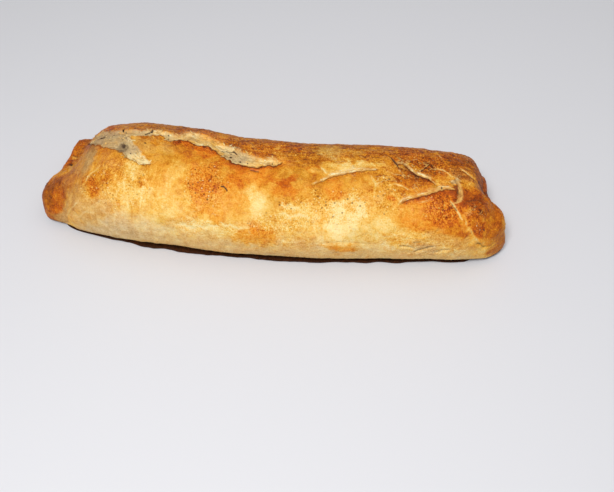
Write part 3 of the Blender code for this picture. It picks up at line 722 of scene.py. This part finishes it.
# the skirt's darkness is painted shadow, darker at the front
skirtMesh = ringMesh("shadowSkirt", skirtShape, {
    "bake": np.full(skirtShape.shape[:2], skirt["bake"]),
    "char": blend(skirt["char"], towardsFront(skirtShape[..., 1])),
})
skirtPiece = placed("shadowSkirt", skirtMesh)
print("skirt mesh", len(skirtMesh.polygons))


# Node trees written as expressions.

def operator(operation, swapped=False):
    # one Math operation; swapped is for a number on the left of the sign
    def apply(wire, other):
        return wire.maths(operation, other, wire) if swapped else wire.maths(operation, wire, other)
    return apply


class Wire:
    # a socket that does sums by adding Math nodes to its tree
    def __init__(self, tree, socket):
        self.tree = tree
        self.socket = socket

    def maths(self, operation, *values):
        return self.tree.add("ShaderNodeMath", {"operation": operation}, dict(enumerate(values)))

    __add__ = operator("ADD")
    __radd__ = operator("ADD", swapped=True)
    __sub__ = operator("SUBTRACT")
    __rsub__ = operator("SUBTRACT", swapped=True)
    __mul__ = operator("MULTIPLY")
    __rmul__ = operator("MULTIPLY", swapped=True)
    __pow__ = operator("POWER")

    def clamp(self, low=0.0, high=1.0):
        return self.maths("MINIMUM", self.maths("MAXIMUM", self, low), high)

    def above(self, limit):
        return self.maths("GREATER_THAN", self, limit)

    def size(self):
        return self.maths("ABSOLUTE", self)

    def biggest(self, other):
        return self.maths("MAXIMUM", self, other)

    def between(self, low, high):
        # 0 at the low end and 1 at the high end, with soft ends
        settings = {"interpolation_type": "SMOOTHSTEP"}
        values = {"Value": self, "From Min": low, "From Max": high}
        return self.tree.add("ShaderNodeMapRange", settings, values)

    def other(self, name):
        # another output of the same node
        return Wire(self.tree, self.socket.node.outputs[name])


class Tree:
    # adds nodes by type, settings and the values or wires of their sockets
    def __init__(self, nodes):
        self.nodes = nodes

    def add(self, kind, settings=None, values=None, out=0):
        node = self.nodes.nodes.new(kind)
        for key, setting in (settings or {}).items():
            if key == "stops":
                ramp = node.color_ramp
                while len(ramp.elements) < len(setting):
                    ramp.elements.new(0.5)
                for element, (place, colour) in zip(ramp.elements, setting):
                    element.position = place
                    element.color = (*colour, 1.0)
            else:
                setattr(node, key, setting)
        for key, value in (values or {}).items():
            if isinstance(value, Wire):
                self.nodes.links.new(value.socket, node.inputs[key])
            else:
                node.inputs[key].default_value = value
        return Wire(self, node.outputs[out]) if len(node.outputs) else node

    def mix(self, first, second, factor, blend="MIX"):
        # first where the factor is 0, second where it is 1
        settings = {"data_type": "RGBA", "blend_type": blend}
        return self.add("ShaderNodeMix", settings, {0: factor, 6: first, 7: second}, out=2)


def sRgb(red, green, blue):
    # a colour as seen on screen, 0 to 255, made linear
    def linear(value):
        value /= 255
        return value / 12.92 if value <= 0.04045 else ((value + 0.055) / 1.055) ** 2.4
    return linear(red), linear(green), linear(blue)


# The crust's finish: three browning scales, blended by how warm the crust is and by its matt and shade layer,
# whose greyer scale also paints shade.

crustFinish = {
    "gold": ((0.0, (252, 228, 162)), (0.15, (250, 217, 142)), (0.30, (243, 195, 99)), (0.45, (234, 168, 60)),
             (0.60, (214, 138, 30)), (0.73, (190, 108, 16)), (0.86, (156, 78, 10)), (1.0, (92, 44, 8))),
    "red": ((0.0, (252, 224, 160)), (0.15, (249, 206, 126)), (0.30, (245, 184, 86)), (0.45, (240, 159, 50)),
            (0.60, (226, 130, 25)), (0.73, (200, 96, 10)), (0.86, (164, 68, 8)), (1.0, (90, 34, 8))),
    "matt": ((0.0, (240, 224, 180)), (0.30, (223, 195, 148)), (0.50, (200, 162, 106)),
             (0.75, (158, 112, 58)), (1.0, (100, 58, 26))),
    "olive": (214, 222, 200), "cream": (253, 227, 162), "peach": (240, 184, 92), "beige": (190, 158, 116),
    "doughStreakAndShade": (156, 112, 62), "doughHighlight": (255, 240, 188), "edgeShade": (104, 48, 14),
    "shadeAndSpeckColour": (80, 58, 46), "charAndShadeColour": (40, 24, 14), "speckColour": (120, 62, 20),
    "glintColour": (255, 228, 166),
    # noises: lumps per metre, detail, roughness, warp
    "mottle": (260, 5.0, 0.62, 0.6), "grit": (900, 3.0, 0.6), "fine": (1700, 2.0), "flakePatches": (70,),
    "peachPatches": (170, 2.0), "drawnNoise": (1.0, 4.0, 0.6, 0.6), "flakeNoise": (1.0, 3.0, 0.55, 1.4),
    "fibreNoise": (1.0, 3.0, 0.6, 0.4),
    "lengthways": (150.0, 640.0, 640.0), "upright": (420.0, 110.0, 110.0), "flakes": (75.0, 135.0, 135.0),
    "fibreAlong": 0.3, "fibreAcross": 1.1, "specks": 560.0, "pores": 1250.0,
    # dots: where a cell's dot ends, where it is full, share of the cells without one
    "poreDots": (0.34, 0.14, 0.7), "speckDots": (0.30, 0.16, 0.72), "glintDots": (0.26, 0.12, 0.72),
    "doughDots": (0.34, 0.2, 0.88), "granular": (0.2, 0.8),
    # lines of lifted skin: height in the noise, where they end, where they are full
    "flakeLine": (0.5, 0.965, 0.99), "flakeShade": (0.478, 0.96, 0.99),
    # how much a noise shows in the browning: everywhere, more where granular, more where drawn lengthways
    "gritShows": (0.14, 0.35, 0.35), "fineShows": (0.34, 0.75, 0.35),
    "mottleShows": (0.10, 0.22),  # everywhere, and more on the middle browns
    "streakShows": 0.75, "crestShows": 0.08, "terraces": 52.0, "terraceShows": 0.0165,
    "flakeShadow": 0.2, "crackPale": 0.16, "poreShade": 0.22, "flakePale": 0.7,
    # how strongly each colour lies over what is under it
    "oliveOver": 0.9, "paleOver": 0.85, "specksOver": 0.7, "glintsOver": 0.75, "doughStreakAndShadeOver": 0.7,
    "doughHighlightOver": 0.8, "doughDotsOver": 0.5, "edgeShadeOver": 0.85, "tightPeach": 1.2,
    "roughness": 0.58, "specular": 0.1, "coatRoughness": 0.3, "subsurface": 0.06, "subsurfaceScale": 0.0016,
    "subsurfaceRadius": (1.0, 0.55, 0.25), "bumpStrength": 1.0, "bumpDistance": 0.0006,
}


def crustMaterial(name, finish):
    material = bpy.data.materials.new(name)
    material.use_nodes = True
    material.node_tree.nodes.clear()
    tree = Tree(material.node_tree)
    place = tree.add("ShaderNodeTexCoord", out="Object")

    def layer(key):
        return tree.add("ShaderNodeAttribute", {"attribute_name": key}, out="Fac")

    def noise(perMetre, detail=2.0, rough=0.5, warp=0.0, at=place):
        values = {"Vector": at, "Scale": perMetre, "Detail": detail, "Roughness": rough, "Distortion": warp}
        return tree.add("ShaderNodeTexNoise", {}, values)

    def stretched(key):
        return tree.add("ShaderNodeVectorMath", {"operation": "MULTIPLY"}, {0: place, 1: finish[key]})

    def cellsOf(key):
        # distance to the nearest cell's middle, and a random number for each cell
        cells = tree.add("ShaderNodeTexVoronoi", {"feature": "F1"}, {"Vector": place, "Scale": finish[key]})
        return cells, tree.add("ShaderNodeSeparateColor", {}, {0: cells.other("Color")})

    def paint(key):
        return (*sRgb(*finish[key]), 1)

    def scaleOf(key, level):
        stops = [(at, sRgb(*colour)) for at, colour in finish[key]]
        return tree.add("ShaderNodeValToRGB", {"stops": stops}, {0: level})

    def tint(under, key, mask):
        return tree.mix(under, paint(key), mask)

    def shows(plain, granular, drawn):
        return plain + granular * grainLayer + drawn * sweepLayer.clamp()

    def dotsIn(cells, pick, key):
        end, full, without = finish[key]
        return cells.between(end, full) * pick.above(without)

    def skinLine(key):
        at, end, full = finish[key]
        return (1 - (flakeNoise - at).size() * 2.0).between(end, full) * flakeHere

    bakeLayer, warmLayer, mattAndShadeLayer, tornLayer = map(layer, ("bake", "warm", "matt", "torn"))
    toneLayer, grainLayer, sweepLayer, hollowShadeLayer = map(layer, ("tone", "grain", "sweep", "stain"))
    gapeLayer, crisp = layer("gape"), layer("underline")
    gritLevel = noise(*finish["grit"])
    grit = gritLevel - 0.5      # these five noises lie evenly about 0
    mottle = noise(*finish["mottle"]) - 0.5
    fine = noise(*finish["fine"]) - 0.5
    lengthways = noise(*finish["drawnNoise"], at=stretched("lengthways")) - 0.5
    upright = noise(*finish["drawnNoise"], at=stretched("upright")) - 0.5
    cells, cellPick = cellsOf("specks")
    pores, porePick = cellsOf("pores")
    streak = lengthways * sweepLayer.clamp() + upright * (sweepLayer * -1.0).clamp()

    # the crust's browning, darker and paler by the noises, flakes and cracks, with painted shade in the pores
    middle = bakeLayer.between(0.05, 0.30) * (1 - bakeLayer.between(0.85, 1.0))
    lowMottle, highMottle = finish["mottleShows"]
    level = bakeLayer + mottle * (lowMottle + highMottle * middle) + streak * finish["streakShows"]
    level = level - level.maths("SINE", level * finish["terraces"]) * finish["terraceShows"]
    level = level + grit * shows(*finish["gritShows"])
    flakeNoise = noise(*finish["flakeNoise"], at=stretched("flakes"))
    flakeHere = layer("flake") * noise(*finish["flakePatches"]).between(0.44, 0.58)
    flakeHere = flakeHere * gritLevel.between(0.3, 0.5)
    level = level + fine * shows(*finish["fineShows"]) + layer("crest") * finish["crestShows"] * middle
    level = level + skinLine("flakeShade") * finish["flakeShadow"]
    crackLine = layer("crack") + grit * 0.5 + mottle * 0.5
    level = level - crackLine.between(0.1, 0.6) * finish["crackPale"]
    poreDots = dotsIn(pores, porePick, "poreDots") * grainLayer.between(0.05, 0.7)
    # painted shade in the pores
    level = (level + poreDots * finish["poreShade"]).clamp()

    # its colour
    redness = (warmLayer + mottle * 1.2).between(-0.15, 0.75)
    skin = tree.mix(scaleOf("gold", level), scaleOf("red", level), redness)
    skin = tree.mix(skin, paint("olive"), (warmLayer * -1.0).clamp() * finish["oliveOver"], "MULTIPLY")
    # the duller, greyer scale: the unglazed matt sides, and painted shade low on the front and in hollows
    skin = tree.mix(skin, scaleOf("matt", level), (mattAndShadeLayer + mottle * 0.8).clamp())
    pale = crackLine.between(0.5, 0.68).biggest(skinLine("flakeLine") * finish["flakePale"])
    skin = tree.mix(skin, scaleOf("gold", level * 0.3), pale * finish["paleOver"])
    granular = grainLayer.between(*finish["granular"])
    dots = dotsIn(cells, cellPick, "speckDots") * granular
    skin = tint(skin, "speckColour", dots * finish["specksOver"])
    glints = dotsIn(cells, 1 - cellPick, "glintDots") * granular
    skin = tint(skin, "glintColour", glints * finish["glintsOver"])

    # the dough in the tears, drawn out in fibres along them, with tan streaks and painted shade in the
    # grooves between the fibres and painted highlights on their crests
    fibreAt = tree.add("ShaderNodeCombineXYZ", {}, {
        0: layer("fibreAlong") * finish["fibreAlong"], 1: layer("fibreAcross") * finish["fibreAcross"],
    })
    fibreLevel = noise(*finish["fibreNoise"], at=fibreAt)
    fibre = fibreLevel - 0.5
    peachy = (noise(*finish["peachPatches"]).between(0.4, 0.62) * 0.6 + warmLayer * 1.2).clamp()
    dough = tree.mix(paint("cream"), paint("peach"), peachy)
    dough = tint(dough, "beige", (toneLayer + mottle * 0.7 + fibre * 1.2).clamp())
    dough = tint(dough, "peach", (1 - gapeLayer) * finish["tightPeach"])
    dough = tint(dough, "doughStreakAndShade", fibreLevel.between(0.48, 0.3) * finish["doughStreakAndShadeOver"])
    fibreHighlight = fibreLevel.between(0.5, 0.66) * finish["doughHighlightOver"]
    dough = tint(dough, "doughHighlight", (fibreHighlight - toneLayer - warmLayer * 0.8 + grit).clamp())
    doughDots = dotsIn(cells, cellPick, "doughDots") * toneLayer.between(0.2, 0.7)
    dough = tint(dough, "shadeAndSpeckColour", doughDots * finish["doughDotsOver"])

    # the tears' edges, crisp in front with a line of painted shade under them, soft behind
    edge = tornLayer - (1 - crisp) * 0.1 + grit * 0.3 + mottle * 0.4 + fibre * (0.75 - 0.5 * crisp)
    softness = 0.3 - crisp * 0.27
    inside = edge.between(0.5 - softness, 0.5 + softness)
    inside = inside * (gapeLayer + (1 - gapeLayer) * fibreLevel.between(0.42, 0.6))
    colour = tree.mix(skin, dough, inside)
    # a dark line of painted shade along the crisp front edges
    line = edge.between(0.08, 0.26) * (1 - edge.between(0.5, 0.6)) * crisp
    colour = tint(colour, "edgeShade", line * finish["edgeShadeOver"])
    # painted shade in the pits and at the bottoms of the creases
    colour = tint(colour, "shadeAndSpeckColour", (hollowShadeLayer + grit * 0.3).between(0.15, 0.8))
    # the toasted sole and rim with the rim's painted shade, the skirt's painted shadow, and the deepest
    # painted shade of the hollows
    burntAndShaded = (layer("char") + grit * 0.3).clamp().biggest(hollowShadeLayer.between(0.6, 0.9))
    colour = tint(colour, "charAndShadeColour", burntAndShaded)

    gloss = (1 - inside) * bakeLayer.between(0.25, 0.7) * (1 - mattAndShadeLayer).clamp()
    roughness = finish["roughness"] + inside * 0.3 + mattAndShadeLayer * 0.2 - gloss * 0.12 + grit * 0.2
    height = grit * (0.6 + 0.8 * grainLayer) + fine * 0.6 + mottle * 0.7
    height = height - dots * 0.25 + glints * 0.3 + inside * fibre * 1.6
    height = height - poreDots * 0.2 + pale * 0.15 - line * 0.5
    bump = tree.add("ShaderNodeBump", {}, {
        "Strength": finish["bumpStrength"], "Distance": finish["bumpDistance"], "Height": height,
    })
    shader = tree.add("ShaderNodeBsdfPrincipled", {}, {
        "Base Color": colour, "Roughness": roughness.clamp(0.2, 0.95), "Normal": bump,
        "Coat Weight": gloss * 0.08, "Coat Roughness": finish["coatRoughness"],
        "Specular IOR Level": finish["specular"], "Subsurface Weight": finish["subsurface"],
        "Subsurface Radius": finish["subsurfaceRadius"], "Subsurface Scale": finish["subsurfaceScale"],
    })
    tree.add("ShaderNodeOutputMaterial", {}, {"Surface": shader})
    return material


crustSkin = crustMaterial("bakedCrust", crustFinish)
skirtMesh.materials.append(crustSkin)


# Geometry Nodes tools: named inputs, real meshes out.

def startTool(name, inputs):
    # a geometry tree with one named number for each size; returns the tree and its wires
    group = bpy.data.node_groups.new(name, "GeometryNodeTree")
    group.interface.new_socket("Geometry", in_out="INPUT", socket_type="NodeSocketGeometry")
    for key, value in inputs.items():
        kind = "NodeSocketInt" if isinstance(value, int) else "NodeSocketFloat"
        group.interface.new_socket(key, in_out="INPUT", socket_type=kind)
    group.interface.new_socket("Geometry", in_out="OUTPUT", socket_type="NodeSocketGeometry")
    tree = Tree(group)
    source = tree.add("NodeGroupInput")
    return tree, source, {key: source.other(key) for key in inputs}


def layerIn(tree, key):
    return tree.add("GeometryNodeInputNamedAttribute", {"data_type": "FLOAT"}, {"Name": key})


def storeIn(tree, geometry, key, value):
    settings = {"data_type": "FLOAT", "domain": "POINT"}
    values = {"Geometry": geometry, "Name": key, "Value": value}
    return tree.add("GeometryNodeStoreNamedAttribute", settings, values)


def finishTool(tree, geometry, material):
    real = tree.add("GeometryNodeRealizeInstances", {}, {"Geometry": geometry})
    dressed = tree.add("GeometryNodeSetMaterial", {}, {"Geometry": real, "Material": material})
    tree.add("NodeGroupOutput", {}, {0: dressed})


def runTool(piece, tree, inputs):
    # puts the tree on the piece, sets its inputs, and keeps the result as the piece's plain mesh
    modifier = piece.modifiers.new(tree.nodes.name, "NODES")
    modifier.node_group = tree.nodes
    for item in tree.nodes.interface.items_tree:
        if item.in_out == "INPUT" and item.name in inputs:
            modifier[item.identifier] = inputs[item.name]
    graph = bpy.context.evaluated_depsgraph_get()
    result = bpy.data.meshes.new_from_object(piece.evaluated_get(graph), depsgraph=graph)
    piece.modifiers.clear()
    piece.data = result
    for polygon in result.polygons:
        polygon.use_smooth = True
    print(piece.name, "faces", len(result.polygons))


# The crust's own relief: crumpled skin, and raised blisters where it is granular.

reliefSizes = {
    "Crumple Height": 0.00042, "Crumple Scale": 230.0, "Wrinkle Height": 0.0003, "Wrinkle Scale": 520.0,
    "Blister Height": 0.0005, "Blister Scale": 430.0,
}
reliefLook = {
    "crumple": (2.0, 0.5), "wrinkle": (1.0, 1.0), "domeEdge": (0.62, 0.0), "domesFrom": 0.45,
    "crests": (2.2, 0.9, 1.2), "flatterInTears": 0.3,
}


def reliefTool(sizes, look, material):
    tree, source, given = startTool("crustRelief", sizes)

    def creased(name):
        detail, warp = look[name.lower()]
        values = {"Scale": given[name + " Scale"], "Detail": detail, "Distortion": warp}
        return tree.add("ShaderNodeTexNoise", {}, values) - 0.5

    crumple, wrinkle = creased("Crumple"), creased("Wrinkle")
    cells = tree.add("ShaderNodeTexVoronoi", {"feature": "F1"}, {"Scale": given["Blister Scale"]})
    pick = tree.add("FunctionNodeSeparateColor", {}, {0: cells.other("Color")})
    dome = cells.between(*look["domeEdge"]) * pick.above(look["domesFrom"]) * layerIn(tree, "grain")
    crumpleCrest, wrinkleCrest, domeCrest = look["crests"]
    crest = crumple * crumpleCrest + wrinkle * wrinkleCrest + dome * domeCrest
    height = crumple * 2.0 * given["Crumple Height"] + wrinkle * 2.0 * given["Wrinkle Height"]
    height = height + dome * given["Blister Height"]
    height = height * layerIn(tree, "away") * (1 - look["flatterInTears"] * layerIn(tree, "torn"))
    normal = tree.add("GeometryNodeInputNormal")
    offset = tree.add("ShaderNodeVectorMath", {"operation": "SCALE"}, {0: normal, "Scale": height})
    marked = storeIn(tree, source, "crest", crest)
    moved = tree.add("GeometryNodeSetPosition", {}, {"Geometry": marked, "Offset": offset})
    finishTool(tree, moved, material)
    return tree


runTool(crust, reliefTool(reliefSizes, reliefLook, crustSkin), reliefSizes)


# Small things scattered over the crust: blisters, dark flecks, crumbs in the tears and shreds along
# their edges. Density is for a square metre, and the sizes are in metres.

blisters = {"Density": 420000.0, "Spacing": 0.0005, "Smallest": 0.00022, "Largest": 0.00062,
            "Flatness": 0.55, "Seed": 3}
flecks = {"Density": 240000.0, "Spacing": 0.0004, "Smallest": 0.00010, "Largest": 0.00024,
          "Flatness": 0.35, "Seed": 5}
crumbs = {"Density": 500000.0, "Spacing": 0.0006, "Smallest": 0.00018, "Largest": 0.0006,
          "Flatness": 0.5, "Seed": 7}
shreds = {"Density": 260000.0, "Spacing": 0.0011, "Smallest": 0.0004, "Largest": 0.0010,
          "Flatness": 0.16, "Seed": 9}
lie = {"tilt": 0.35, "fullTurn": 6.283, "narrowest": 0.6}  # how every small thing lies
curl = {"lift": 2.4, "twist": 1.2, "longer": 0.7, "narrower": -0.4}
# where they lie: from none to most, in the layers that the crust carries
masks = {
    "patchScale": 190.0, "patches": (0.42, 0.62), "grain": (0.1, 0.9), "dough": (0.52, 0.8),
    "outerEdge": (0.3, 0.5), "innerEdge": (0.6, 0.85), "gaping": (0.5, 1.0),
}


def randomValue(tree, low, high, seed):
    return tree.add("FunctionNodeRandomValue", {"data_type": "FLOAT"}, {2: low, 3: high, 8: seed}, out=1)


def scatterTool(name, sizes, shape, mask, changes, material):
    # shape and mask are made in the tree by the two functions given; changes are new values of layers
    tree, source, given = startTool(name, sizes)
    spread = tree.add("GeometryNodeDistributePointsOnFaces", {"distribute_method": "POISSON"}, {
        "Mesh": source, "Distance Min": given["Spacing"], "Density Max": given["Density"],
        "Density Factor": mask(tree), "Seed": given["Seed"],
    })
    dots = spread
    for key, change in changes.items():
        dots = storeIn(tree, dots, key, change(tree))
    turn = tree.add("FunctionNodeRotateRotation", {"rotation_space": "LOCAL"}, {
        "Rotation": spread.other("Rotation"),
        "Rotate By": tree.add("ShaderNodeCombineXYZ", {}, {
            0: randomValue(tree, -lie["tilt"], lie["tilt"], 41),
            1: randomValue(tree, -lie["tilt"], lie["tilt"], 42),
            2: randomValue(tree, 0.0, lie["fullTurn"], 43),
        }),
    })
    size = randomValue(tree, 0.0, 1.0, 44) ** 2.0 * (given["Largest"] - given["Smallest"]) + given["Smallest"]
    scale = tree.add("ShaderNodeCombineXYZ", {}, {
        0: size, 1: size * randomValue(tree, lie["narrowest"], 1.0, 45), 2: size * given["Flatness"],
    })
    laid = tree.add("GeometryNodeInstanceOnPoints", {}, {
        "Points": dots, "Instance": shape(tree), "Rotation": turn, "Scale": scale,
    })
    finishTool(tree, laid, material)
    return tree


def domeShape(tree):
    return tree.add("GeometryNodeMeshUVSphere", {}, {"Segments": 8, "Rings": 5, "Radius": 1.0})


def jaggedShape(tree):
    ball = tree.add("GeometryNodeMeshIcoSphere", {}, {"Radius": 1.0, "Subdivisions": 1})
    wobble = tree.add("ShaderNodeTexNoise", {}, {"Scale": 1.3, "Detail": 1.0}, out="Color")
    shift = tree.add("ShaderNodeVectorMath", {"operation": "SUBTRACT"}, {0: wobble, 1: (0.5, 0.5, 0.5)})
    return tree.add("GeometryNodeSetPosition", {}, {"Geometry": ball, "Offset": shift})


def curledShape(tree):
    # a thin flake, longer than wide, whose ends curl up
    ball = domeShape(tree)
    split = tree.add("ShaderNodeSeparateXYZ", {}, {0: tree.add("GeometryNodeInputPosition")})
    across = split.other("Y")
    lifted = split ** 2.0 * curl["lift"] + across * split * curl["twist"]
    offset = tree.add("ShaderNodeCombineXYZ", {}, {
        0: split * curl["longer"], 1: across * curl["narrower"], 2: lifted,
    })
    return tree.add("GeometryNodeSetPosition", {}, {"Geometry": ball, "Offset": offset})


def grainMask(tree):
    patchy = tree.add("ShaderNodeTexNoise", {}, {"Scale": masks["patchScale"], "Detail": 2.0})
    return (layerIn(tree, "grain").between(*masks["grain"]) * patchy.between(*masks["patches"])).clamp()


def doughMask(tree):
    return layerIn(tree, "torn").between(*masks["dough"])


def edgeMask(tree):
    # along the edges, where a tear gapes
    torn = layerIn(tree, "torn")
    edge = torn.between(*masks["outerEdge"]) * (1 - torn.between(*masks["innerEdge"]))
    return edge * layerIn(tree, "gape").between(*masks["gaping"])


def scatter(name, sizes, shape, mask, changes):
    piece = placed(name, crust.data.copy())
    runTool(piece, scatterTool(name + "Tool", sizes, shape, mask, changes, crustSkin), sizes)
    return piece


def changed(key, low, high, seed):
    # the layer's own value with something random added, kept on each small thing
    return {key: lambda tree: layerIn(tree, key) + randomValue(tree, low, high, seed)}


scattered = [
    # blisters are mostly paler: pale tops that also serve as painted highlights
    scatter("blisters", blisters, domeShape, grainMask, changed("bake", -0.34, 0.10, 51)),
    scatter("flecks", flecks, jaggedShape, grainMask, changed("bake", 0.08, 0.3, 52)),
    # the crumbs' tone moves mostly below 0, which gives them painted highlights
    scatter("crumbs", crumbs, jaggedShape, doughMask, changed("tone", -0.8, 0.3, 53)),
    scatter("shreds", shreds, curledShape, edgeMask,
            {"torn": lambda tree: randomValue(tree, 0.3, 0.9, 54), **changed("bake", -0.6, -0.2, 55)}),
]


# The stage: floor, light and camera.

stage = {
    "floorSize": 6.0, "floorColour": (217, 217, 221), "floorRoughness": 0.6, "skyStrength": 0.33,
    "key": dict(place=(-0.06, -0.36, 0.68), size=0.22, power=4.6),
    "fill": dict(place=(0.30, 0.20, 0.60), size=0.5, power=0.5),
}
bpy.ops.mesh.primitive_plane_add(size=stage["floorSize"])
floor = bpy.context.object
floor.name = "floor"
floorLook = bpy.data.materials.new("floor")
floorLook.use_nodes = True
floorShader = floorLook.node_tree.nodes["Principled BSDF"]
floorShader.inputs["Base Color"].default_value = (*sRgb(*stage["floorColour"]), 1)
floorShader.inputs["Roughness"].default_value = stage["floorRoughness"]
floor.data.materials.append(floorLook)

world = bpy.data.worlds.new("studio")
bpy.context.scene.world = world
world.use_nodes = True
world.node_tree.nodes["Background"].inputs["Color"].default_value = (1, 1, 1, 1)
world.node_tree.nodes["Background"].inputs["Strength"].default_value = stage["skyStrength"]
for name in ("key", "fill"):
    settings = stage[name]
    light = bpy.data.lights.new(name, "AREA")
    light.energy = settings["power"]
    light.size = settings["size"]
    lamp = placed(name, light)
    lamp.location = settings["place"]
    lamp.rotation_euler = (-Vector(settings["place"])).to_track_quat("-Z", "Y").to_euler()

# The camera's place and turn in the roll's own millimetres, found from the picture's perspective.
view = {"place": (51.76, -200.25, 257.3), "down": 54.13, "turn": 10.0, "roll": -2.92,
        "focal": 700.0, "pictureWidth": 614.0, "sensor": 36.0}
camera = placed("camera", bpy.data.cameras.new("camera"))
camera.data.sensor_width = view["sensor"]
camera.data.lens = view["sensor"] * view["focal"] / view["pictureWidth"]
camera.location = [float(v) for v in (np.array(view["place"]) - centre) * mm]
pitch = math.radians(90 - view["down"])
look = Euler((pitch, 0, math.radians(view["turn"]))).to_matrix()
camera.rotation_euler = (look @ Euler((0, 0, math.radians(view["roll"]))).to_matrix()).to_euler()
bpy.context.scene.camera = camera
bpy.context.scene.view_settings.view_transform = "Standard"
print("stage set")

for piece in (crust, skirtPiece, *scattered):
    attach(piece, "root")
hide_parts("crust")
